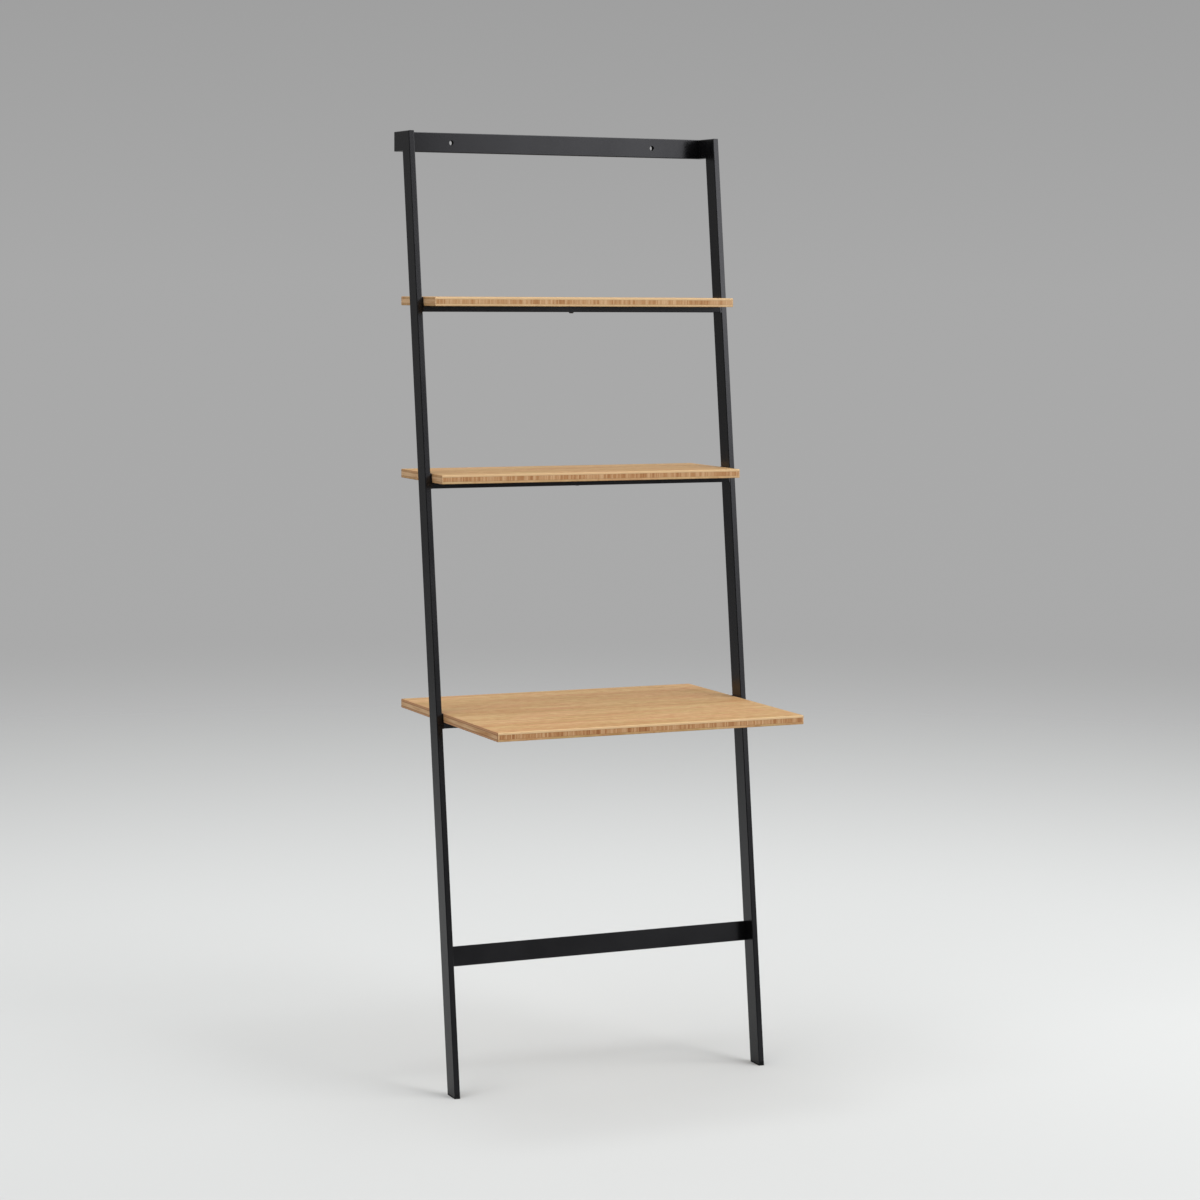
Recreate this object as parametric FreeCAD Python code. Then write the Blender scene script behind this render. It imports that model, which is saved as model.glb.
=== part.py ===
import FreeCAD, Part
import math
import os

# Ladder desk: two leaning posts of flat steel tube, tied by a wall rail, a foot rail and one bar
# under each board. Three plywood boards lie on the bars, and their back edges touch the wall.
# Millimetres. X runs to the right, Y runs back to the wall and Z up. The origin is on the floor,
# midway between the posts and midway between the wall and the desk's front edge.

# Whole frame
frame_height = 1920.0           # floor to the top of the posts
frame_width = 692.0             # over the posts' outer faces
post_reach_top = 82.0           # wall to the posts' front faces, at the top
post_reach_foot = 344.0         # wall to the posts' front faces, at the floor

# Steel tube, one section for posts, arms, wall rail and shelf bars
tube_breadth = 12.0
tube_depth = 40.0
tube_wall = 1.5
tube_corner_radius = 1.5

# Foot rail, a flat bar between the posts
foot_rail_bottom = 257.0        # floor to its lower edge
foot_rail_height = 40.0
foot_rail_thickness = 3.0
foot_rail_inset = 2.0           # from the posts' back faces

# Wall rail
wall_hole_diameter = 10.0
wall_hole_spacing = 452.0

# Boards: height of the top face above the floor, and depth out from the wall
board_thickness = 18.0
board_arris = 1.0
desk_height = 760.0
desk_depth = 525.0
middle_shelf_height = 1236.0
middle_shelf_depth = 230.0
top_shelf_height = 1588.0
top_shelf_depth = 191.0

# End plates, between each board's ends and the posts
end_plate_thickness = 2.5
board_end_clearance = 0.3

# Board fixings: a flat pan-head screw from below, in a threaded insert
screw_diameter = 5.0
screw_head_diameter = 10.0
screw_head_height = 2.6
pan_face_diameter = 7.0         # the head's flat face, inside its sloping rim
pan_slope_height = 1.4
screw_recess_width = 4.6
screw_recess_slot = 1.1
screw_recess_depth = 1.5
screw_hole_clearance = 0.3      # round the shank, in the bar
insert_diameter = 8.0
insert_length = 12.0
insert_hole_extra_depth = 1.0
insert_clearance = 0.05         # round the insert, and round the screw in it
screw_point_gap = 1.0           # left between the screw's end and the end of the insert
top_screw_setback = 20.0        # the top bar's front face to its screw's centre
middle_screw_setback = 32.0     # the same on the middle bar
desk_screw_setback = 20.0       # the same on the desk's bar, to the middle of its two rows
desk_screw_count = 5
desk_screw_pitch = 140.0
desk_screw_stagger = 9.0        # each row's distance from that middle

# Plastic glides in the posts' feet and plugs in the arms' wall ends
glide_flange = 3.0
glide_depth = 28.0
plug_flange = 2.0
plug_depth = 14.0
plug_clearance = 0.15           # round the plug, inside the tube
plug_rib_count = 3
plug_rib_height = 1.2
plug_rib_width = 1.6

# Places worked out from the sizes above
wall_y = desk_depth / 2
foot_y = wall_y - post_reach_foot
lean = math.atan2(post_reach_foot - post_reach_top, frame_height)
inner_width = frame_width - 2 * tube_breadth
board_width = inner_width - 2 * (end_plate_thickness + board_end_clearance)
bar_length = inner_width - 2 * end_plate_thickness
post_x = (frame_width - tube_breadth) / 2
far = 2 * tube_depth

x_axis = FreeCAD.Vector(1, 0, 0)
lean_turn = FreeCAD.Rotation(x_axis, -math.degrees(lean))
foot_point = FreeCAD.Vector(0, foot_y, 0)


def vector(x, y, z):
    return FreeCAD.Vector(x, y, z)


def front_y(z):
    """Y of the posts' front faces at a height."""
    return foot_y + z * math.tan(lean)


def back_y(z):
    """Y of the posts' back faces at a height."""
    return front_y(z) + tube_depth / math.cos(lean)


def rounded_prism(breadth, depth, length, radius):
    """Upright prism: breadth along X and centred, depth from Y = 0 back, with rounded corners."""
    block = Part.makeBox(breadth, depth, length, vector(-breadth / 2, 0, 0))
    if radius <= 0:
        return block
    upright = [edge for edge in block.Edges if abs(edge.tangentAt(edge.FirstParameter).z) > 0.9]
    return block.makeFillet(radius, upright)


def tube_bore(length, gap=0.0):
    """Upright prism that fills the tube's bore, less a gap all round."""
    side = tube_wall + gap
    bore = rounded_prism(tube_breadth - 2 * side, tube_depth - 2 * side, length,
                         tube_corner_radius - side)
    return bore.translated(vector(0, side, 0))


def tube(length):
    """Upright length of the frame's steel tube."""
    outside = rounded_prism(tube_breadth, tube_depth, length, tube_corner_radius)
    return outside.cut(tube_bore(length))


def placed(shape, turn, at):
    shape = shape.copy()
    shape.Placement = FreeCAD.Placement(at, turn)
    return shape


def cut_beyond(shape, point, normal):
    """Removes what lies past a plane, on the side its normal points to."""
    size = 4 * far
    block = Part.makeBox(size, size, size, vector(-size / 2, -size / 2, 0))
    return shape.cut(placed(block, FreeCAD.Rotation(vector(0, 0, 1), normal), point))


def mitre_plane():
    """Point and normal, pointing up and back, of the mitre between a post and its arm."""
    outer = vector(0, front_y(frame_height), frame_height)
    arm_bottom = frame_height - tube_depth
    inner = vector(0, back_y(arm_bottom), arm_bottom)
    along = inner - outer
    return outer, vector(0, -along.z, along.y)


def at_side(shape, side):
    """Moves a piece made on the middle plane out to the left (-1) or right (+1) post."""
    return shape.translated(vector(side * post_x, 0, 0))


def post(side):
    """Leaning tube, level at the foot and mitred to its arm at the top."""
    length = frame_height / math.cos(lean) + 2 * far
    start = foot_point - lean_turn.multVec(vector(0, 0, far))
    shape = placed(tube(length), lean_turn, start)
    shape = cut_beyond(shape, foot_point + vector(0, 0, glide_flange), vector(0, 0, -1))
    shape = cut_beyond(shape, *mitre_plane())
    return at_side(shape, side)


def tube_along_y(length, front, top):
    """The frame tube laid along Y, on edge, with its top face at a height."""
    turn = FreeCAD.Rotation(x_axis, -90)
    return placed(tube(length), turn, vector(0, front, top))


def wall_arm(side):
    """Level tube from the mitre at the post's top back to the wall."""
    front = front_y(frame_height) - tube_depth
    length = wall_y - plug_flange - front
    shape = tube_along_y(length, front, frame_height)
    point, normal = mitre_plane()
    return at_side(cut_beyond(shape, point, normal * -1), side)


def ribbed_plug(depth):
    """Upright plug for the tube's bore, with ribs round its long sides to grip the walls."""
    core = tube_bore(depth, plug_rib_height)
    spacing = depth / plug_rib_count
    for number in range(plug_rib_count):
        rib = tube_bore(min(plug_rib_width, spacing), plug_clearance)
        core = core.fuse(rib.translated(vector(0, 0, number * spacing)))
    return core.removeSplitter()


def foot_glide(side):
    """Plastic glide: a flange under the post's end and a leaning plug inside the tube."""
    start = foot_point - lean_turn.multVec(vector(0, 0, far))
    outline = rounded_prism(tube_breadth, tube_depth, 2 * far, tube_corner_radius)
    flange = cut_beyond(placed(outline, lean_turn, start),
                        foot_point + vector(0, 0, glide_flange), vector(0, 0, 1))
    rise = glide_flange / math.cos(lean) + tube_depth * math.tan(lean)
    plug_start = foot_point + lean_turn.multVec(vector(0, 0, rise))
    plug = placed(ribbed_plug(glide_depth), lean_turn, plug_start)
    neck = placed(tube_bore(rise, plug_rib_height), lean_turn, foot_point)
    shape = cut_beyond(flange.fuse(neck).fuse(plug), foot_point, vector(0, 0, -1))
    return at_side(shape.removeSplitter(), side)


def arm_plug(side):
    """Plastic plug that closes the arm's end at the wall."""
    turn = FreeCAD.Rotation(x_axis, 90)
    bottom = frame_height - tube_depth
    flange = rounded_prism(tube_breadth, tube_depth, plug_flange, tube_corner_radius)
    shape = flange.fuse(ribbed_plug(plug_depth).translated(vector(0, 0, plug_flange)))
    return at_side(placed(shape, turn, vector(0, wall_y, bottom)), side)


def level_tube(length):
    """The frame tube along X, centred, with its breadth upright and its depth running back."""
    turn = FreeCAD.Rotation(vector(0, 1, 0), 90)
    return placed(tube(length), turn, vector(-length / 2, 0, 0))


def wall_rail():
    """Tube on edge along the wall, with two through holes for the wall screws."""
    turn = FreeCAD.Rotation(vector(1, 1, 1), 120)
    corner = vector(-inner_width / 2, wall_y - tube_breadth / 2, frame_height - tube_depth)
    shape = placed(tube(inner_width), turn, corner)
    for side in (-1, 1):
        start = vector(side * wall_hole_spacing / 2, wall_y - 2 * tube_breadth, frame_height - tube_depth / 2)
        hole = Part.makeCylinder(wall_hole_diameter / 2, 3 * tube_breadth, start, vector(0, 1, 0))
        shape = shape.cut(hole)
    return shape


def foot_rail():
    """Flat bar between the posts, leaning with them near their back faces."""
    block = Part.makeBox(inner_width, foot_rail_thickness, foot_rail_height,
                         vector(-inner_width / 2, tube_depth - foot_rail_inset - foot_rail_thickness, 0))
    start = foot_point + lean_turn.multVec(vector(0, 0, foot_rail_bottom / math.cos(lean)))
    return placed(block, lean_turn, start)


def bar_front(board_top):
    """Y of a bar's front face, level with the posts' front faces under the board."""
    return front_y(board_top - board_thickness)


def bar_bottom(board_top):
    return board_top - board_thickness - tube_breadth


def screw_places(board_top, setback, count=1, pitch=0.0, stagger=0.0):
    """Screw centres along a bar, at the bar's lower face, by turns in front of and behind a line."""
    middle = bar_front(board_top) + setback
    places = []
    for number in range(count):
        x = (number - (count - 1) / 2) * pitch
        y = middle + stagger * (1 if number % 2 else -1)
        places.append(vector(x, y, bar_bottom(board_top)))
    return places


def upright_cylinders(radius, places, low, high):
    """Cylinders on the screw centres, between two heights above the bar's lower face."""
    return [Part.makeCylinder(radius, high - low, place + vector(0, 0, low)) for place in places]


def shelf_bar(board_top, places):
    """Tube laid flat under a board, between its end plates, drilled for the board's screws."""
    shape = level_tube(bar_length)
    shape.translate(vector(0, bar_front(board_top), bar_bottom(board_top) + tube_breadth / 2))
    radius = screw_diameter / 2 + screw_hole_clearance
    for hole in upright_cylinders(radius, places, -tube_breadth, 2 * tube_breadth):
        shape = shape.cut(hole)
    return shape


def end_plate(board_top, side):
    """Plate on the post's inner face, as tall as the board and its bar, cut to the posts' lean."""
    low = bar_bottom(board_top)
    corners = [vector(0, front_y(low), low), vector(0, back_y(low), low),
               vector(0, back_y(board_top), board_top), vector(0, front_y(board_top), board_top)]
    face = Part.Face(Part.makePolygon(corners + corners[:1]))
    shape = face.extrude(vector(end_plate_thickness, 0, 0))
    left = -inner_width / 2 if side < 0 else inner_width / 2 - end_plate_thickness
    return shape.translated(vector(left, 0, 0))


def board(board_top, depth, places):
    """Plywood board with eased edges, from the wall out, bored below for its inserts."""
    block = Part.makeBox(board_width, depth, board_thickness,
                         vector(-board_width / 2, wall_y - depth, board_top - board_thickness))
    shape = block.makeChamfer(board_arris, block.Edges)
    reach = insert_length + insert_hole_extra_depth
    radius = insert_diameter / 2 + insert_clearance
    for hole in upright_cylinders(radius, places, tube_breadth / 2, tube_breadth + reach):
        shape = shape.cut(hole)
    return shape


def threaded_insert(place):
    """Insert in the board's underside, flush with it."""
    outer = Part.makeCylinder(insert_diameter / 2, insert_length, place + vector(0, 0, tube_breadth))
    radius = screw_diameter / 2 + insert_clearance
    bore = Part.makeCylinder(radius, 3 * insert_length, place + vector(0, 0, tube_breadth - insert_length))
    return outer.cut(bore)


def screw(place):
    """Pan-head screw with a cross recess: its head seats on the bar's lower face."""
    radius = screw_head_diameter / 2
    crown = vector(0, 0, -screw_head_height)
    rim = screw_head_height - pan_slope_height
    head = Part.makeCylinder(radius, rim, vector(0, 0, -rim))
    slope = Part.makeCone(pan_face_diameter / 2, radius, pan_slope_height, crown)
    head = head.fuse(slope)
    for width, depth in ((screw_recess_width, screw_recess_slot), (screw_recess_slot, screw_recess_width)):
        slot = Part.makeBox(width, depth, screw_recess_depth, crown - vector(width / 2, depth / 2, 0))
        head = head.cut(slot)
    shank = Part.makeCylinder(screw_diameter / 2, tube_breadth + insert_length - screw_point_gap)
    return head.fuse(shank).removeSplitter().translated(place)


def save(shape, node):
    shape.exportStep("parts/" + node + ".step")
    print(node, "solids", len(shape.Solids), "valid", shape.isValid(), "cm3", round(shape.Volume / 1000, 2))


os.makedirs("parts", exist_ok=True)

for side, hand in ((-1, "left"), (1, "right")):
    save(post(side), hand + "_post")
    save(wall_arm(side), hand + "_wall_arm")
    save(arm_plug(side), hand + "_arm_plug")
    save(foot_glide(side), hand + "_foot_glide")

save(wall_rail(), "wall_rail")
save(foot_rail(), "foot_rail")

shelves = (
    ("top_shelf", top_shelf_height, top_shelf_depth,
     screw_places(top_shelf_height, top_screw_setback)),
    ("middle_shelf", middle_shelf_height, middle_shelf_depth,
     screw_places(middle_shelf_height, middle_screw_setback)),
    ("desk", desk_height, desk_depth,
     screw_places(desk_height, desk_screw_setback, desk_screw_count, desk_screw_pitch, desk_screw_stagger)),
)
all_places = []
for name, board_top, depth, places in shelves:
    save(shelf_bar(board_top, places), name + "_bar")
    save(end_plate(board_top, -1), name + "_left_plate")
    save(end_plate(board_top, 1), name + "_right_plate")
    save(board(board_top, depth, places), name + "_board")
    all_places += places

save(Part.makeCompound([threaded_insert(place) for place in all_places]), "board_inserts")
save(Part.makeCompound([screw(place) for place in all_places]), "board_screws")
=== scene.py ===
import math
import bpy
import numpy as np
from mathutils import Matrix, Vector


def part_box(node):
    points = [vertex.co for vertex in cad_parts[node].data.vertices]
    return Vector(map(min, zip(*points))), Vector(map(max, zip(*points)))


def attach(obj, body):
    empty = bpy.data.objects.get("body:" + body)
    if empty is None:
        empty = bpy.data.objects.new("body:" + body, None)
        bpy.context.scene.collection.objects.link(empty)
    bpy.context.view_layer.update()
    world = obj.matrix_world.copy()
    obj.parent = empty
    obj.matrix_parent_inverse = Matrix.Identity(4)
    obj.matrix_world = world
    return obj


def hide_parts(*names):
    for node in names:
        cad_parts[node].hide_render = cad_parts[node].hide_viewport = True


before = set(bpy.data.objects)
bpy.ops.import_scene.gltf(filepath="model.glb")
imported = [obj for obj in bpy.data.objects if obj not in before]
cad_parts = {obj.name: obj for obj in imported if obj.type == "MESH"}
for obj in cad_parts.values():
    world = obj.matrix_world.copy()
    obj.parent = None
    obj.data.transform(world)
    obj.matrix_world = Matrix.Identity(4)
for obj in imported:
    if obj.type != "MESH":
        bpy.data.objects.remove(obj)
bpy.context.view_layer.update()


cameraLook = {
    "place": (-2.5421, -5.6333, 1.6172),  # metres, in front and to the left, at eye height
    "yaw": 24.29,  # degrees, turned from straight at the wall towards the right
    "pitch": -5.90,  # looking slightly down
    "roll": 0.39,
    "lens": 91.94,  # mm
    "sensor": 36.0,  # mm wide
    "farthest": 200.0,  # metres, past the floor's rim
}


def makeCamera(look):
    # The three axes of the camera: forward from yaw and pitch, right level, up square to both, then rolled.
    yaw, pitch, roll = (math.radians(look[k]) for k in ("yaw", "pitch", "roll"))
    forward = Vector((math.sin(yaw) * math.cos(pitch), math.cos(yaw) * math.cos(pitch), math.sin(pitch)))
    level = Vector((math.cos(yaw), -math.sin(yaw), 0.0))
    upright = level.cross(forward)
    right = level * math.cos(roll) + upright * math.sin(roll)
    up = upright * math.cos(roll) - level * math.sin(roll)
    data = bpy.data.cameras.new("deskCamera")
    data.sensor_width = look["sensor"]
    data.lens = look["lens"]
    data.clip_end = look["farthest"]
    camera = bpy.data.objects.new("deskCamera", data)
    turn = Matrix((right, up, -forward)).transposed().to_4x4()
    camera.matrix_world = Matrix.Translation(look["place"]) @ turn
    bpy.context.scene.collection.objects.link(camera)
    bpy.context.scene.camera = camera


makeCamera(cameraLook)
print("camera set")


def newNode(tree, kind, **values):
    node = tree.nodes.new(kind)
    for name, value in values.items():
        setattr(node, name, value)
    return node


def feed(tree, socket, value):
    # A socket gets either a link from another socket or a plain value.
    if isinstance(value, bpy.types.NodeSocket):
        tree.links.new(value, socket)
    else:
        socket.default_value = value


def calc(tree, operation, *values):
    node = newNode(tree, "ShaderNodeMath", operation=operation)
    for socket, value in zip(node.inputs, values):
        feed(tree, socket, value)
    return node.outputs[0]


def ease(tree, value, low, high, start=0.0, end=1.0):
    # Goes smoothly from start to end as value goes from low to high.
    node = newNode(tree, "ShaderNodeMapRange", interpolation_type="SMOOTHSTEP")
    labels = ("Value", "From Min", "From Max", "To Min", "To Max")
    for label, given in zip(labels, (value, low, high, start, end)):
        feed(tree, node.inputs[label], given)
    return node.outputs["Result"]


def blendColour(tree, amount, first, second):
    node = newNode(tree, "ShaderNodeMix", data_type="RGBA")
    feed(tree, node.inputs["Factor"], amount)
    feed(tree, node.inputs[6], first)
    feed(tree, node.inputs[7], second)
    return node.outputs[2]


def shiftTone(tree, tone, noise, weight):
    # Moves a tone by a noise that has its middle at one half.
    return calc(tree, "MULTIPLY_ADD", calc(tree, "SUBTRACT", noise, 0.5), weight, tone)


def alongHeading(tree, vector, heading):
    # How far a vector reaches in the direction of another.
    node = newNode(tree, "ShaderNodeVectorMath", operation="DOT_PRODUCT")
    feed(tree, node.inputs[0], vector)
    node.inputs[1].default_value = heading
    return node.outputs["Value"]


def stretchedNoise(tree, axes, scales, detail=2.0, roughness=0.55):
    # Noise drawn out along an axis by giving that axis a small scale, in cycles per metre.
    join = newNode(tree, "ShaderNodeCombineXYZ")
    for i in range(3):
        feed(tree, join.inputs[i], calc(tree, "MULTIPLY", axes[i], scales[i]))
    noise = newNode(tree, "ShaderNodeTexNoise")
    feed(tree, noise.inputs["Vector"], join.outputs[0])
    feed(tree, noise.inputs["Scale"], 1.0)
    feed(tree, noise.inputs["Detail"], detail)
    feed(tree, noise.inputs["Roughness"], roughness)
    return noise.outputs["Fac"]


def chance(tree, first, second):
    # A fixed random number from 0 to 1 for each pair of values.
    join = newNode(tree, "ShaderNodeCombineXYZ")
    feed(tree, join.inputs[0], first)
    feed(tree, join.inputs[1], second)
    random = newNode(tree, "ShaderNodeTexWhiteNoise", noise_dimensions="2D")
    feed(tree, random.inputs["Vector"], join.outputs[0])
    return random.outputs["Value"]


def ramp(tree, amount, stops):
    node = newNode(tree, "ShaderNodeValToRGB")
    band = node.color_ramp
    while len(band.elements) < len(stops):
        band.elements.new(0.5)
    for element, (position, colour) in zip(band.elements, stops):
        element.position = position
        element.color = (*colour, 1.0)
    feed(tree, node.inputs["Fac"], amount)
    return node.outputs["Color"]


def cover(tree, colour, mask, strength, over):
    # Lays a plain colour over another where the mask says so.
    return blendColour(tree, calc(tree, "MULTIPLY", mask, strength), colour, (*over, 1.0))


def splitAxes(tree, vector):
    split = newNode(tree, "ShaderNodeSeparateXYZ")
    feed(tree, split.inputs[0], vector)
    return tuple(split.outputs)


def openGroup(name, inputs, outputs):
    group = bpy.data.node_groups.new(name, "ShaderNodeTree")
    for way, sockets in (("INPUT", inputs), ("OUTPUT", outputs)):
        for label, kind in sockets:
            group.interface.new_socket(name=label, in_out=way, socket_type=kind)
    return group, newNode(group, "NodeGroupInput"), newNode(group, "NodeGroupOutput")


def openMaterial(name):
    material = bpy.data.materials.new(name)
    material.use_nodes = True
    tree = material.node_tree
    tree.nodes.clear()
    output = newNode(tree, "ShaderNodeOutputMaterial")
    shader = newNode(tree, "ShaderNodeBsdfPrincipled")
    tree.links.new(shader.outputs[0], output.inputs["Surface"])
    place = newNode(tree, "ShaderNodeTexCoord").outputs["Object"]
    return material, tree, shader, place


def addBump(tree, shader, height, strength, distance):
    bump = newNode(tree, "ShaderNodeBump")
    bump.inputs["Strength"].default_value = strength
    bump.inputs["Distance"].default_value = distance
    feed(tree, bump.inputs["Height"], height)
    feed(tree, shader.inputs["Normal"], bump.outputs[0])


def addSkinTone(tree, shader, amount, look):
    # Goes from dark to light, and from the first roughness to the second, as a noise goes up.
    low, high = 0.3, 0.7  # a noise seldom goes past these
    colour = ramp(tree, amount, [(low, look["dark"]), (high, look["light"])])
    feed(tree, shader.inputs["Base Color"], colour)
    feed(tree, shader.inputs["Roughness"], ease(tree, amount, low, high, *look["roughness"]))


bambooLook = {
    "plyThickness": 0.0045,  # the light face sheets, on an 18 mm board
    "plyBlend": 0.0001,  # half the width over which a sheet passes into the core
    "faceStrip": 0.019,  # width of the strips in a face sheet, which run from side to side
    "faceSway": 0.004,  # how far its fibres wander
    "coreStrip": 0.0026,  # width of the strips in the core, which run from front to back
    "coreSway": 0.002,
    "stripSlide": 3.0,  # each strip shows another stretch of this length of grain
    "upperStrips": 37.0,  # the upper sheet's strips count on from here, so that it differs from the lower
    "knucklePitch": 0.27,  # distance between a strip's knuckles
    "knuckleFray": 0.004,
    "knuckleTaper": (0.08, 0.34, 1.0, 0.25),  # shares of a strip's width from its middle, then strengths
    "faceTones": [
        (0.15, (0.340, 0.165, 0.058)), (0.5, (0.452, 0.270, 0.120)), (0.85, (0.568, 0.390, 0.202)),
    ],
    "coreTones": [
        (0.12, (0.250, 0.084, 0.025)), (0.5, (0.430, 0.220, 0.092)), (0.88, (0.610, 0.400, 0.225)),
    ],
    "faceOlive": (0.415, 0.305, 0.116),  # slow drifts of hue in the face sheets
    "faceRose": (0.500, 0.254, 0.127),
    "faceBlush": (0.400, 0.165, 0.070),  # sparse ruddy flecks
    # Paler along the long edges: partly the face sheets' own pale edge, partly a painted highlight where
    # the arris catches the light.
    "edgePaleAndHighlight": (0.690, 0.480, 0.270),  # the face sheets along the front and back edges
    "edgeBlend": 0.001,  # half the height over which the lower sheet's edge passes into the upper's
    "endGrain": (0.490, 0.262, 0.135),  # the face sheets at the ends, cut across
    "endPlaning": (2.4, -0.2),  # factor and offset by which the last core strip follows its vessels
    "glue": (0.165, 0.085, 0.040),
    "endGlue": (0.235, 0.098, 0.042),  # the darker lines at the ends
    "roughness": 0.60,
    "roughnessSwing": 0.14,
    "specular": 0.15,
    "jointDepth": 1.2,  # in the bump, against a grain of 1
    "seamDepth": 0.7,  # against the glue lines
    "bumpStrength": 0.35,
    "bumpHeight": 0.00012,
    "noises": {  # scales in cycles per metre along x, y and z
        "sway": {"scales": (2.6, 9.0, 0.0), "detail": 1.0},
        "fibre": {"scales": (7.0, 1500.0, 1500.0), "roughness": 0.6},
        "streak": {"scales": (4.6, 120.0, 60.0), "detail": 4.0, "roughness": 0.68},
        "cloud": {"scales": (2.0, 14.0, 0.0)},
        "mottle": {"scales": (46.0, 120.0, 0.0), "detail": 3.0},
        "fleck": {"scales": (24.0, 360.0, 0.0)},
        "blush": {"scales": (13.0, 75.0, 0.0)},
        "drift": {"scales": (7.0, 30.0, 0.0), "detail": 3.0},
        "patch": {"scales": (62.0, 3.0, 0.0)},
        "vessel": {"scales": (1700.0, 14.0, 240.0), "roughness": 0.6},
        "pores": {"scales": (2600.0, 60.0, 2600.0), "detail": 1.0},
    },
    "levels": {  # of a noise: where its mask begins, and where it is whole
        "fleck": (0.60, 0.76), "blush": (0.63, 0.76), "drift": (0.36, 0.64),
    },
    "weights": {  # how far a pattern moves the tone, or how strongly it covers
        "strip": 0.17, "fibre": 0.55, "streak": 1.45, "cloud": 0.26, "mottle": 1.10, "fleck": -0.44,
        "knuckle": -0.24, "drift": 0.30, "blush": 0.60, "seam": 0.35,
        "coreStrip": 0.38, "patch": 0.85, "vessel": 0.50, "pores": 0.35, "gap": 0.45, "endStrip": 0.34,
        # The upper sheet's long edge gets a painted highlight, as if lit from above.
        "glue": 0.60, "upperRimHighlight": 0.80, "endRim": 0.85, "corner": 0.75, "endGlue": 0.70, "endArris": 0.60,
    },
    "reaches": {  # metres from a line: as far as it is whole, and where it has faded out
        "seam": (0.00008, 0.0004), "knuckle": (0.0026, 0.0056), "gap": (0.00005, 0.00035),
        "glue": (0.00012, 0.00036), "endGlue": (0.0003, 0.0011), "end": (0.0003, 0.0010),
        "longRimPaleAndLit": (0.0003, 0.0014), "endRim": (0.0005, 0.0015), "endStrip": (0.0028, 0.0030),
        "corner": (0.0012, 0.0028), "endArris": (0.0008, 0.0016), "surfaceArris": (0.0008, 0.0018),
    },
    "draws": {"stripTone": 3.0, "knuckles": 7.0, "slide": 11.0, "coreTone": 19.0},  # one random number each
}


def grainNoise(group, axes, look, name):
    return stretchedNoise(group, axes, **look["noises"][name])


def grainMask(group, axes, look, name):
    return ease(group, grainNoise(group, axes, look, name), *look["levels"][name])


def fadeFrom(group, distance, look, name, start=1.0):
    return ease(group, distance, *look["reaches"][name], start, 0.0)


def toLine(group, count, pitch):
    # Metres to the nearest line of a set that lies one pitch apart.
    return calc(group, "MULTIPLY", calc(group, "PINGPONG", count, 0.5), pitch)


def fromHalf(group, count):
    # 0 halfway between two lines, 0.5 at each of them.
    return calc(group, "ABSOLUTE", calc(group, "SUBTRACT", calc(group, "FRACT", count), 0.5))


def makeKnuckles(group, x, across, strip, fibre, look):
    # Frayed bands across each strip, strongest along its middle.
    start = chance(group, strip, look["draws"]["knuckles"])
    along = calc(group, "ADD", calc(group, "DIVIDE", x, look["knucklePitch"]), start)
    toKnuckle = calc(group, "MULTIPLY", fromHalf(group, along), look["knucklePitch"])
    frayed = calc(group, "MULTIPLY_ADD", fibre, look["knuckleFray"], toKnuckle)
    taper = ease(group, fromHalf(group, across), *look["knuckleTaper"])
    return calc(group, "MULTIPLY", fadeFrom(group, frayed, look, "knuckle"), taper)


def makeFaceSheets(group, x, y, z, sway, look):
    # Wide strips along X, each with its own tone, fibres, knuckles and flecks.
    weights, draws = look["weights"], look["draws"]
    first = calc(group, "MULTIPLY", calc(group, "GREATER_THAN", z, 0.0), look["upperStrips"])
    across = calc(group, "ADD", calc(group, "DIVIDE", y, look["faceStrip"]), first)
    strip = calc(group, "FLOOR", across)
    seam = fadeFrom(group, toLine(group, across, look["faceStrip"]), look, "seam")
    swayedY = calc(group, "MULTIPLY_ADD", sway, look["faceSway"], y)
    slidX = calc(group, "MULTIPLY_ADD", chance(group, strip, draws["slide"]), look["stripSlide"], x)
    alongStrip = (slidX, swayedY, z)
    fibre = grainNoise(group, alongStrip, look, "fibre")

    tone = shiftTone(group, 0.5, chance(group, strip, draws["stripTone"]), weights["strip"])
    tone = shiftTone(group, tone, fibre, weights["fibre"])
    tone = shiftTone(group, tone, grainNoise(group, alongStrip, look, "streak"), weights["streak"])
    tone = shiftTone(group, tone, grainNoise(group, (x, y, z), look, "cloud"), weights["cloud"])
    tone = shiftTone(group, tone, grainNoise(group, (x, swayedY, z), look, "mottle"), weights["mottle"])
    tone = calc(group, "MULTIPLY_ADD", grainMask(group, alongStrip, look, "fleck"), weights["fleck"], tone)
    knuckle = makeKnuckles(group, x, across, strip, fibre, look)
    tone = calc(group, "MULTIPLY_ADD", knuckle, weights["knuckle"], tone)

    drift = grainMask(group, (slidX, y, z), look, "drift")
    hue = blendColour(group, drift, (*look["faceRose"], 1.0), (*look["faceOlive"], 1.0))
    colour = blendColour(group, weights["drift"], ramp(group, tone, look["faceTones"]), hue)
    blush = grainMask(group, alongStrip, look, "blush")
    colour = cover(group, colour, blush, weights["blush"], look["faceBlush"])
    return cover(group, colour, seam, weights["seam"], look["glue"]), fibre, seam


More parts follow.
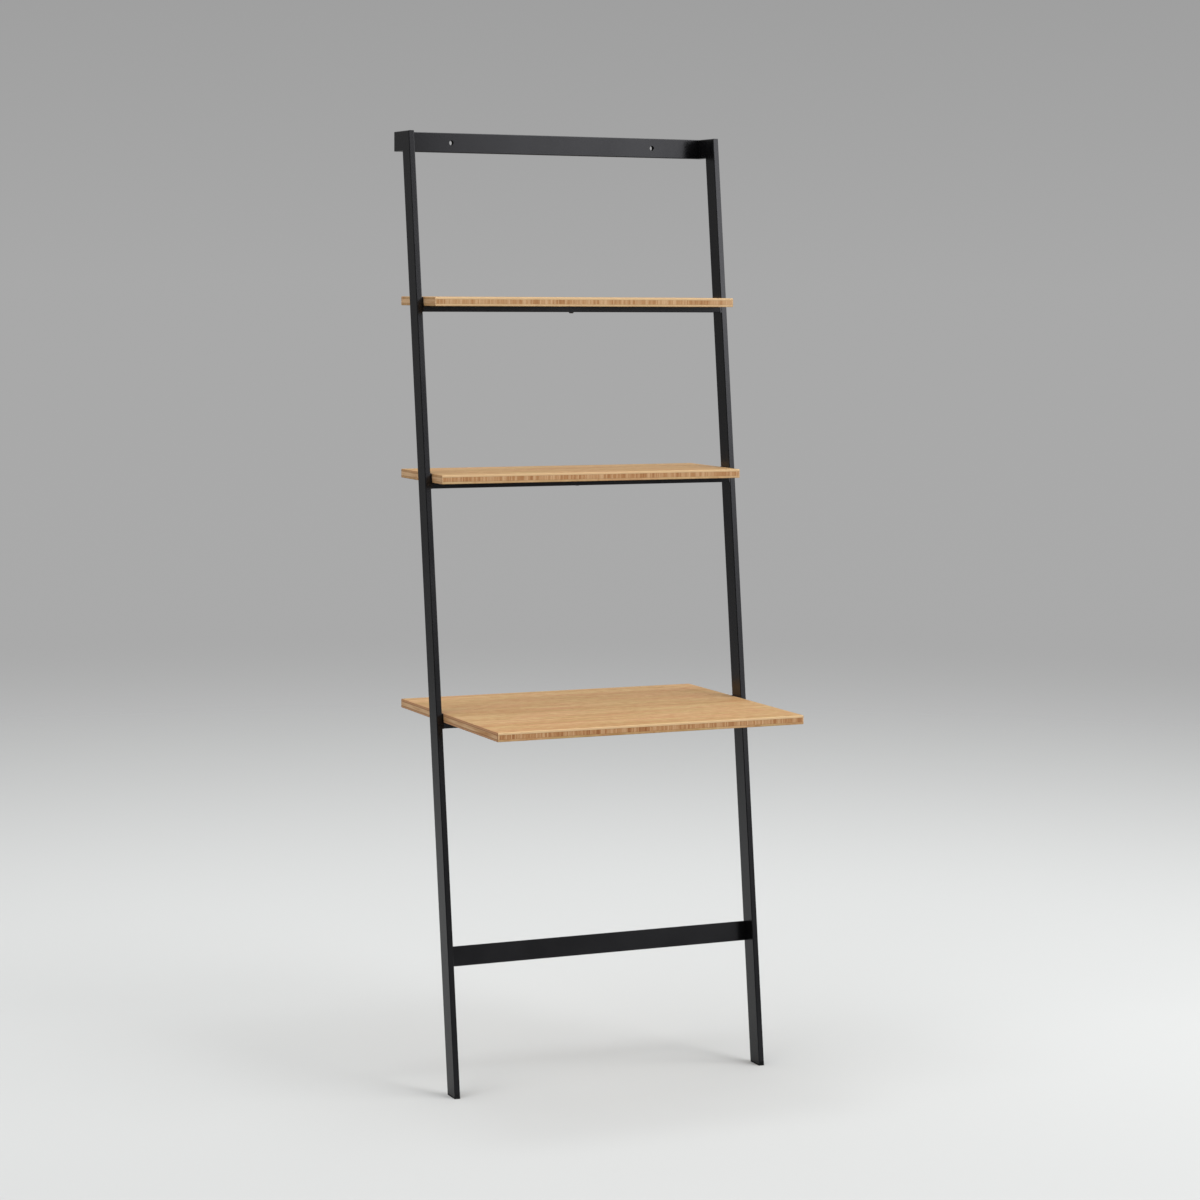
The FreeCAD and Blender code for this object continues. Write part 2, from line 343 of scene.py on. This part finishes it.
def makeCore(group, x, y, z, sway, fromEnd, extraTone, look):
    # Narrow strips along Y. The long edges show their cut ends, and the board's ends the side of the last.
    weights = look["weights"]
    swayedX = calc(group, "MULTIPLY_ADD", sway, look["coreSway"], x)
    through = calc(group, "DIVIDE", swayedX, look["coreStrip"])
    gap = fadeFrom(group, toLine(group, through, look["coreStrip"]), look, "gap")
    stripTone = chance(group, calc(group, "FLOOR", through), look["draws"]["coreTone"])
    vessel = grainNoise(group, (x, y, z), look, "vessel")
    tone = shiftTone(group, 0.5, stripTone, weights["coreStrip"])
    tone = shiftTone(group, tone, grainNoise(group, (x, y, z), look, "patch"), weights["patch"])
    tone = shiftTone(group, tone, vessel, weights["vessel"])
    tone = shiftTone(group, tone, grainNoise(group, (x, y, z), look, "pores"), weights["pores"])
    endStrip = fadeFrom(group, fromEnd, look, "endStrip", weights["endStrip"])
    planed = calc(group, "MULTIPLY_ADD", vessel, *look["endPlaning"])
    tone = calc(group, "ADD", tone, calc(group, "MULTIPLY", endStrip, planed))
    tone = calc(group, "ADD", tone, extraTone)
    return cover(group, ramp(group, tone, look["coreTones"]), gap, weights["gap"], look["glue"]), vessel


def makeEndLines(group, fromEnd, fromFront, fromSurface, fromGlue, look):
    # At the sawn ends, lines down the corners, wider glue lines, and lines along the arrises.
    weights = look["weights"]
    atEnd = fadeFrom(group, fromEnd, look, "end")
    corner = calc(group, "MULTIPLY", atEnd, fadeFrom(group, fromFront, look, "corner", weights["corner"]))
    glue = calc(group, "MULTIPLY", atEnd, fadeFrom(group, fromGlue, look, "endGlue", weights["endGlue"]))
    arris = calc(group, "MULTIPLY", fadeFrom(group, fromEnd, look, "endArris", weights["endArris"]),
                 fadeFrom(group, fromSurface, look, "surfaceArris"))
    return calc(group, "MAXIMUM", corner, calc(group, "MAXIMUM", glue, arris))


def makeBambooGroup(look):
    # A solid pattern of two face sheets and a core, so every cut through the board shows the right grain.
    group, given, made = openGroup(
        "bambooPly",
        [("Position", "NodeSocketVector"), ("Half Size", "NodeSocketVector"),
         ("Seed", "NodeSocketFloat"), ("Lower Rim Painted Light", "NodeSocketFloat"),
         ("Core Tone", "NodeSocketFloat"), ("End Lines", "NodeSocketFloat")],
        [("Color", "NodeSocketColor"), ("Roughness", "NodeSocketFloat"), ("Height", "NodeSocketFloat")],
    )
    weights = look["weights"]
    x, y, z = splitAxes(group, given.outputs["Position"])
    depth = calc(group, "ABSOLUTE", z)
    halfX, halfY, halfZ = splitAxes(group, given.outputs["Half Size"])
    # Metres inward from the board's end, its long edge and its surface, and outward from the core.
    fromEnd = calc(group, "SUBTRACT", halfX, calc(group, "ABSOLUTE", x))
    fromFront = calc(group, "SUBTRACT", halfY, calc(group, "ABSOLUTE", y))
    fromSurface = calc(group, "SUBTRACT", halfZ, depth)
    overCore = calc(group, "SUBTRACT", depth, calc(group, "SUBTRACT", halfZ, look["plyThickness"]))
    fromGlue = calc(group, "ABSOLUTE", overCore)
    inFace = ease(group, overCore, -look["plyBlend"], look["plyBlend"])
    x = calc(group, "ADD", x, given.outputs["Seed"])  # each board is cut from another part of the pattern
    y = calc(group, "ADD", y, given.outputs["Seed"])
    sway = grainNoise(group, (x, y, z), look, "sway")

    faceColour, fibre, seam = makeFaceSheets(group, x, y, z, sway, look)
    # The sheets are pale along the long edges, partly their own colour and partly a painted highlight; the
    # upper edge is painted brighter as if lit from above, the lower gets each board's share of painted
    # light, and they are darker across the ends.
    lowerRim, blend = given.outputs["Lower Rim Painted Light"], look["edgeBlend"]
    rimPaleAndLitStrength = ease(group, z, -blend, blend, lowerRim, weights["upperRimHighlight"])
    longRimPaleAndLit = calc(group, "MULTIPLY", fadeFrom(group, fromFront, look, "longRimPaleAndLit"), rimPaleAndLitStrength)
    faceColour = blendColour(group, longRimPaleAndLit, faceColour, (*look["edgePaleAndHighlight"], 1.0))
    endRim = fadeFrom(group, fromEnd, look, "endRim", weights["endRim"])
    faceColour = cover(group, faceColour, endRim, given.outputs["End Lines"], look["endGrain"])
    coreColour, vessel = makeCore(group, x, y, z, sway, fromEnd, given.outputs["Core Tone"], look)

    glueLine = fadeFrom(group, fromGlue, look, "glue")
    endLines = makeEndLines(group, fromEnd, fromFront, fromSurface, fromGlue, look)
    whole = blendColour(group, inFace, coreColour, faceColour)
    whole = cover(group, whole, glueLine, weights["glue"], look["glue"])
    whole = cover(group, whole, endLines, given.outputs["End Lines"], look["endGlue"])
    feed(group, made.inputs["Color"], whole)

    # Fibres and vessels stand up a little, and the joints lie below them.
    vessel = calc(group, "MULTIPLY", vessel, calc(group, "SUBTRACT", 1.0, inFace))
    grain = calc(group, "ADD", calc(group, "MULTIPLY", fibre, inFace), vessel)
    seamLine = calc(group, "MULTIPLY", seam, calc(group, "MULTIPLY", inFace, look["seamDepth"]))
    joints = calc(group, "MULTIPLY", calc(group, "MAXIMUM", glueLine, seamLine), look["jointDepth"])
    swing = look["roughnessSwing"]
    roughness = calc(group, "MULTIPLY_ADD", grain, swing, look["roughness"] - swing / 2)
    feed(group, made.inputs["Roughness"], roughness)
    feed(group, made.inputs["Height"], calc(group, "SUBTRACT", grain, joints))
    return group


def makeBamboo(name, group, low, high, board, look):
    material, tree, shader, place = openMaterial(name)
    centre = newNode(tree, "ShaderNodeMapping")  # puts the pattern's middle in the middle of this board
    feed(tree, centre.inputs["Vector"], place)
    centre.inputs["Location"].default_value = [-(a + b) / 2 for a, b in zip(low, high)]
    wood = newNode(tree, "ShaderNodeGroup", node_tree=group)
    feed(tree, wood.inputs["Position"], centre.outputs[0])
    wood.inputs["Half Size"].default_value = [(b - a) / 2 for a, b in zip(low, high)]
    wood.inputs["Seed"].default_value = board["seed"]
    wood.inputs["Lower Rim Painted Light"].default_value = board["lowerRim"]
    wood.inputs["Core Tone"].default_value = board["coreTone"]
    wood.inputs["End Lines"].default_value = board["endLines"]
    feed(tree, shader.inputs["Base Color"], wood.outputs["Color"])
    feed(tree, shader.inputs["Roughness"], wood.outputs["Roughness"])
    shader.inputs["Specular IOR Level"].default_value = look["specular"]
    addBump(tree, shader, wood.outputs["Height"], look["bumpStrength"], look["bumpHeight"])
    return material


def makeSprayGroup():
    # The faint skin of a sprayed or moulded surface: fine peel for the bump, slow mottle for the tone.
    group, given, made = openGroup(
        "sprayedSkin",
        [("Position", "NodeSocketVector"), ("Peel Scale", "NodeSocketFloat"),
         ("Mottle Scale", "NodeSocketFloat")],
        [("Mottle", "NodeSocketFloat"), ("Peel", "NodeSocketFloat")],
    )
    for label, scale, detail in (("Peel", "Peel Scale", 2.0), ("Mottle", "Mottle Scale", 4.0)):
        noise = newNode(group, "ShaderNodeTexNoise")
        feed(group, noise.inputs["Vector"], given.outputs["Position"])
        feed(group, noise.inputs["Scale"], given.outputs[scale])
        feed(group, noise.inputs["Detail"], detail)
        feed(group, made.inputs[label], noise.outputs["Fac"])
    return group


framePaintLook = {
    "dark": (0.0020, 0.0020, 0.0023), "light": (0.0040, 0.0040, 0.0044), "tint": (0.94, 0.94, 1.0),
    "roughness": (0.19, 0.25), "ior": 1.43, "mottleScale": 9.0,
    "peelScale": 420.0, "bumpStrength": 0.2, "bumpHeight": 0.00001,
}
plasticLook = {
    "dark": (0.0028, 0.0028, 0.0029), "light": (0.0050, 0.0050, 0.0052), "tint": (1.0, 1.0, 1.0),
    "roughness": (0.60, 0.72), "ior": 1.28, "mottleScale": 30.0,
    "peelScale": 2600.0, "bumpStrength": 0.5, "bumpHeight": 0.00004,
}
screwLook = {
    "dark": (0.0050, 0.0050, 0.0054), "light": (0.0090, 0.0090, 0.0096), "tint": (1.0, 1.0, 1.0),
    "roughness": (0.32, 0.42), "ior": 1.50, "mottleScale": 60.0,
    "peelScale": 3000.0, "bumpStrength": 0.3, "bumpHeight": 0.00002,
}


def makeBlack(name, group, look):
    material, tree, shader, place = openMaterial(name)
    skin = newNode(tree, "ShaderNodeGroup", node_tree=group)
    feed(tree, skin.inputs["Position"], place)
    skin.inputs["Peel Scale"].default_value = look["peelScale"]
    skin.inputs["Mottle Scale"].default_value = look["mottleScale"]
    addSkinTone(tree, shader, skin.outputs["Mottle"], look)
    shader.inputs["IOR"].default_value = look["ior"]
    shader.inputs["Specular Tint"].default_value = (*look["tint"], 1.0)
    addBump(tree, shader, skin.outputs["Peel"], look["bumpStrength"], look["bumpHeight"])
    return material


insertLook = {
    "dark": (0.42, 0.40, 0.37), "light": (0.62, 0.60, 0.56), "roughness": (0.28, 0.42),
    "turning": {"scales": (60.0, 60.0, 2400.0), "detail": 3.0},  # lathe marks round the axis
}


def makeInsertSteel(look):
    material, tree, shader, place = openMaterial("insertSteel")
    addSkinTone(tree, shader, stretchedNoise(tree, splitAxes(tree, place), **look["turning"]), look)
    shader.inputs["Metallic"].default_value = 1.0
    return material


sprayGroup = makeSprayGroup()
finishes = {
    "frame_paint": makeBlack("framePaint", sprayGroup, framePaintLook),
    "black_plastic": makeBlack("blackPlastic", sprayGroup, plasticLook),
    "black_screws": makeBlack("blackScrews", sprayGroup, screwLook),
    "insert_steel": makeInsertSteel(insertLook),
}
bambooGroup = makeBambooGroup(bambooLook)
print("materials made")


def ringPiece(name, points, capFirst):
    # points is an array rows x columns x 3, and each row is a ring that closes on itself. Faces join row i
    # to row i+1. One flat face fills the last ring, and the first one too where capFirst says so.
    rows, columns = points.shape[:2]
    index = np.arange(rows * columns).reshape(rows, columns)
    following = np.roll(index, -1, axis=1)
    quads = np.stack([index[:-1], following[:-1], following[1:], index[1:]], axis=-1).reshape(-1, 4)
    faces = quads.tolist()
    if capFirst:
        faces.append(index[0][::-1].tolist())
    faces.append(index[-1].tolist())
    mesh = bpy.data.meshes.new(name)
    mesh.from_pydata(points.reshape(-1, 3).tolist(), [], faces)
    mesh.update()
    piece = bpy.data.objects.new(name, mesh)
    bpy.context.scene.collection.objects.link(piece)
    return piece


def softenShading(piece, angle):
    piece.data.shade_smooth()
    piece.data.set_sharp_from_angle(angle=math.radians(angle))
    weighting = piece.modifiers.new("flatFacesFirst", "WEIGHTED_NORMAL")
    weighting.keep_sharp = True
    weighting.weight = 100  # only the largest faces count


boardShape = {"arris": 0.0015, "corner": 0.0018, "arcSteps": 5, "sharpFrom": 50.0}


def makeBoard(name, low, high, shape):
    # The outline is a rectangle with round corners. The profile is a quarter circle underneath, a straight
    # edge and a quarter circle at the top. A point is the outline's, pulled in along its normal by the
    # profile's inset, at the profile's height.
    lowX, lowY, lowZ = low
    highX, highY, highZ = high
    steps, corner, arris = shape["arcSteps"], shape["corner"], shape["arris"]
    turn = np.linspace(0.0, np.pi / 2, steps + 1)
    angles = (np.arange(4)[:, None] * np.pi / 2 + turn[None, :]).reshape(-1)
    normals = np.stack([np.cos(angles), np.sin(angles)], axis=1)
    centres = np.array([(highX - corner, highY - corner), (lowX + corner, highY - corner),
                        (lowX + corner, lowY + corner), (highX - corner, lowY + corner)])
    centres = np.repeat(centres, steps + 1, axis=0)
    # rings go from the bottom face, out round its arris, up the edge and in over the top
    inset = np.concatenate([arris * (1 - np.sin(turn)), arris * (1 - np.cos(turn))])
    height = np.concatenate([lowZ + arris * (1 - np.cos(turn)), highZ - arris * (1 - np.sin(turn))])
    flat = centres[None] + normals[None] * (corner - inset)[:, None, None]
    tall = np.broadcast_to(height[:, None, None], flat.shape[:2] + (1,))
    points = np.concatenate([flat, tall], axis=2)
    board = ringPiece(name, points, capFirst=True)
    softenShading(board, shape["sharpFrom"])
    return board


boards = {  # how much painted light the bottom sheet's edge gets (none leaves it in painted shade), how much paler the core, how strong the lines at the ends
    "deskTop": {
        "node": "desk_board", "seed": 0.37, "lowerRim": 0.0, "coreTone": 0.02, "endLines": 1.0,
    },
    "middleShelf": {
        "node": "middle_shelf_board", "seed": 1.91, "lowerRim": 0.20, "coreTone": 0.08, "endLines": 0.45,
    },
    "topShelf": {
        "node": "top_shelf_board", "seed": 3.53, "lowerRim": 0.65, "coreTone": 0.12, "endLines": 0.20,
    },
}
for pieceName, look in boards.items():
    low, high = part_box(look["node"])
    board = makeBoard(pieceName, low, high, boardShape)
    board.data.materials.append(makeBamboo(f"{pieceName}Bamboo", bambooGroup, low, high, look, bambooLook))
    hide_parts(look["node"])
    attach(board, "root")
print("boards made")

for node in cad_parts.values():
    for slot in node.material_slots:
        slot.material = finishes.get(slot.material.name.split(".")[0], slot.material)
print("steel and plastic finished")


floorLook = {
    "radius": 16.0, "firstRing": 0.4, "rings": 14, "columns": 96,
    "front": (0.548, 0.556, 0.554), "back": (0.600, 0.609, 0.606),
    "heading": (0.41, 0.91, 0.0), "paintedShadeRamp": (-1.1, 0.7),  # metres along the heading, from tone to tone; painted shade, darker towards the front where the lamps stand nearer
    "fade": (1.8, 8.0),  # metres from the middle, between which it fades into the backdrop
    "roughness": 0.9,
    "shadeInReflections": 0.75,  # painted shade: the floor is darker only where the steel mirrors it
}
backdropLook = [(-0.14, 0.402), (0.0, 0.395), (0.10, 0.345), (1.0, 0.30)]  # sine of elevation, brightness
domeLook = {  # what lights the desk: a base, then the parts towards the front right and the front left
    "base": {"stops": [(-1.0, 0.30), (0.0, 0.17), (0.12, 0.18), (0.34, 0.70), (0.60, 0.98), (1.0, 1.04)]},
    "frontRight": {"stops": [(-1.0, 0.30), (-0.10, 0.10), (0.0, 0.16), (0.03, 0.68), (0.12, 0.85),
                             (0.34, 0.90), (0.60, 0.98), (1.0, 1.04)],
                   "towards": (0.74, -0.67, 0.0), "edge": (0.84, 0.97)},
    "frontLeft": {"stops": [(-1.0, 0.30), (-0.05, 0.06), (0.25, 0.06), (0.50, 0.60), (1.0, 1.04)],
                  "towards": (-0.88, -0.47, 0.0), "edge": (0.74, 0.94)},
}
softboxes = {  # azimuth is from straight in front, towards the right
    "frontSoftbox": {"azimuth": 48.0, "elevation": 35.0, "distance": 6.0, "width": 4.9, "height": 3.6,
                     "radiance": 2.7, "aim": (0.0, 0.0, 1.0)},
    "middleSoftbox": {"azimuth": 47.5, "elevation": 15.0, "distance": 6.0, "width": 5.4, "height": 1.1,
                      "radiance": 1.6, "aim": (0.0, 0.0, 1.0)},
    "lowSoftbox": {"azimuth": 45.0, "elevation": 4.0, "distance": 6.0, "width": 5.2, "height": 0.4,
                   "radiance": 1.3, "aim": (0.0, 0.0, 1.0)},
    "leftSoftbox": {"azimuth": -72.0, "elevation": 50.0, "distance": 4.6, "width": 2.8, "height": 2.2,
                    "radiance": 2.5, "aim": (0.0, 0.0, 1.0)},
    "highSoftbox": {"azimuth": 34.0, "elevation": 55.0, "distance": 7.2, "width": 1.6, "height": 1.6,
                    "radiance": 6.2, "aim": (0.0, 0.0, 0.8)},
    "overheadSoftbox": {"azimuth": 180.0, "elevation": 80.0, "distance": 3.4, "width": 0.8, "height": 0.6,
                        "radiance": 10.5, "aim": (0.0, 0.0, 0.75)},
    "railStrip": {"azimuth": 23.8, "elevation": 2.6, "distance": 1.45, "width": 0.70, "height": 0.30,
                  "radiance": 1.15, "aim": (0.0, 0.25, 1.90), "reflectionOnly": True},
}


def makeFloor(look):
    # A flat disc: the point at radius r and angle a is (r cos a, r sin a, 0).
    radii = np.geomspace(look["firstRing"], look["radius"], look["rings"])
    angles = np.linspace(0.0, 2 * np.pi, look["columns"], endpoint=False)
    ring = np.stack([np.cos(angles), np.sin(angles), np.zeros_like(angles)], axis=1)
    floor = ringPiece("studioFloor", radii[::-1, None, None] * ring[None], capFirst=False)
    material, tree, shader, place = openMaterial("studioFloorPale")
    distance = newNode(tree, "ShaderNodeVectorMath", operation="LENGTH")
    feed(tree, distance.inputs[0], place)
    feed(tree, shader.inputs["Alpha"], ease(tree, distance.outputs["Value"], *look["fade"], 1.0, 0.0))
    # Painted shade: the floor is darker towards the front, to even out the stronger light there.
    depth = ease(tree, alongHeading(tree, place, look["heading"]), *look["paintedShadeRamp"])
    tone = blendColour(tree, depth, (*look["front"], 1.0), (*look["back"], 1.0))
    # Painted shade in reflections: glossy rays see the floor darker than the camera does.
    reflectedShade = newNode(tree, "ShaderNodeVectorMath", operation="SCALE")
    feed(tree, reflectedShade.inputs[0], tone)
    feed(tree, reflectedShade.inputs["Scale"], look["shadeInReflections"])
    mirrored = newNode(tree, "ShaderNodeLightPath").outputs["Is Glossy Ray"]
    feed(tree, shader.inputs["Base Color"], blendColour(tree, mirrored, tone, reflectedShade.outputs[0]))
    shader.inputs["Roughness"].default_value = look["roughness"]
    shader.inputs["Specular IOR Level"].default_value = 0.0
    floor.data.materials.append(material)


def skyBackground(tree, height, stops):
    # A ramp can't go past 1, so its colours are shares of the peak.
    peak = max(value for _, value in stops)
    shade = ramp(tree, height, [((at + 1) / 2, (value / peak,) * 3) for at, value in stops])
    background = newNode(tree, "ShaderNodeBackground")
    feed(tree, background.inputs["Color"], shade)
    background.inputs["Strength"].default_value = peak
    return background.outputs[0]


def makeSky(backdrop, domeParts):
    # The camera sees a plain grey backdrop. The desk is lit by a dome whose parts differ near the horizon.
    world = bpy.data.worlds.new("studioSky")
    world.use_nodes = True
    tree = world.node_tree
    tree.nodes.clear()
    direction = newNode(tree, "ShaderNodeTexCoord").outputs["Generated"]
    height = calc(tree, "MULTIPLY_ADD", splitAxes(tree, direction)[2], 0.5, 0.5)  # from -1 and 1 to 0 and 1
    shine = None
    for part in domeParts.values():
        light = skyBackground(tree, height, part["stops"])
        if shine is None:
            shine = light
            continue
        facing = alongHeading(tree, direction, part["towards"])
        join = newNode(tree, "ShaderNodeMixShader")
        feed(tree, join.inputs[0], ease(tree, facing, *part["edge"]))
        feed(tree, join.inputs[1], shine)
        feed(tree, join.inputs[2], light)
        shine = join.outputs[0]
    choose = newNode(tree, "ShaderNodeMixShader")
    feed(tree, choose.inputs[0], newNode(tree, "ShaderNodeLightPath").outputs["Is Camera Ray"])
    feed(tree, choose.inputs[1], shine)
    feed(tree, choose.inputs[2], skyBackground(tree, height, backdrop))
    output = newNode(tree, "ShaderNodeOutputWorld")
    tree.links.new(choose.outputs[0], output.inputs["Surface"])
    bpy.context.scene.world = world


def makeSoftbox(name, look):
    data = bpy.data.lights.new(name, "AREA")
    data.shape = "RECTANGLE"
    data.size, data.size_y = look["width"], look["height"]
    data.energy = look["radiance"] * math.pi * look["width"] * look["height"]  # watts
    light = bpy.data.objects.new(name, data)
    azimuth, elevation = math.radians(look["azimuth"]), math.radians(look["elevation"])
    back = Vector((math.sin(azimuth) * math.cos(elevation), -math.cos(azimuth) * math.cos(elevation),
                   math.sin(elevation)))
    turn = (-back).to_track_quat("-Z", "Y").to_matrix().to_4x4()
    light.matrix_world = Matrix.Translation(Vector(look["aim"]) + back * look["distance"]) @ turn
    light.visible_camera = False
    light.visible_diffuse = not look.get("reflectionOnly", False)
    bpy.context.scene.collection.objects.link(light)


makeFloor(floorLook)
makeSky(backdropLook, domeLook)
for name, look in softboxes.items():
    makeSoftbox(name, look)
bpy.context.scene.view_settings.view_transform = "Standard"
print("studio set")
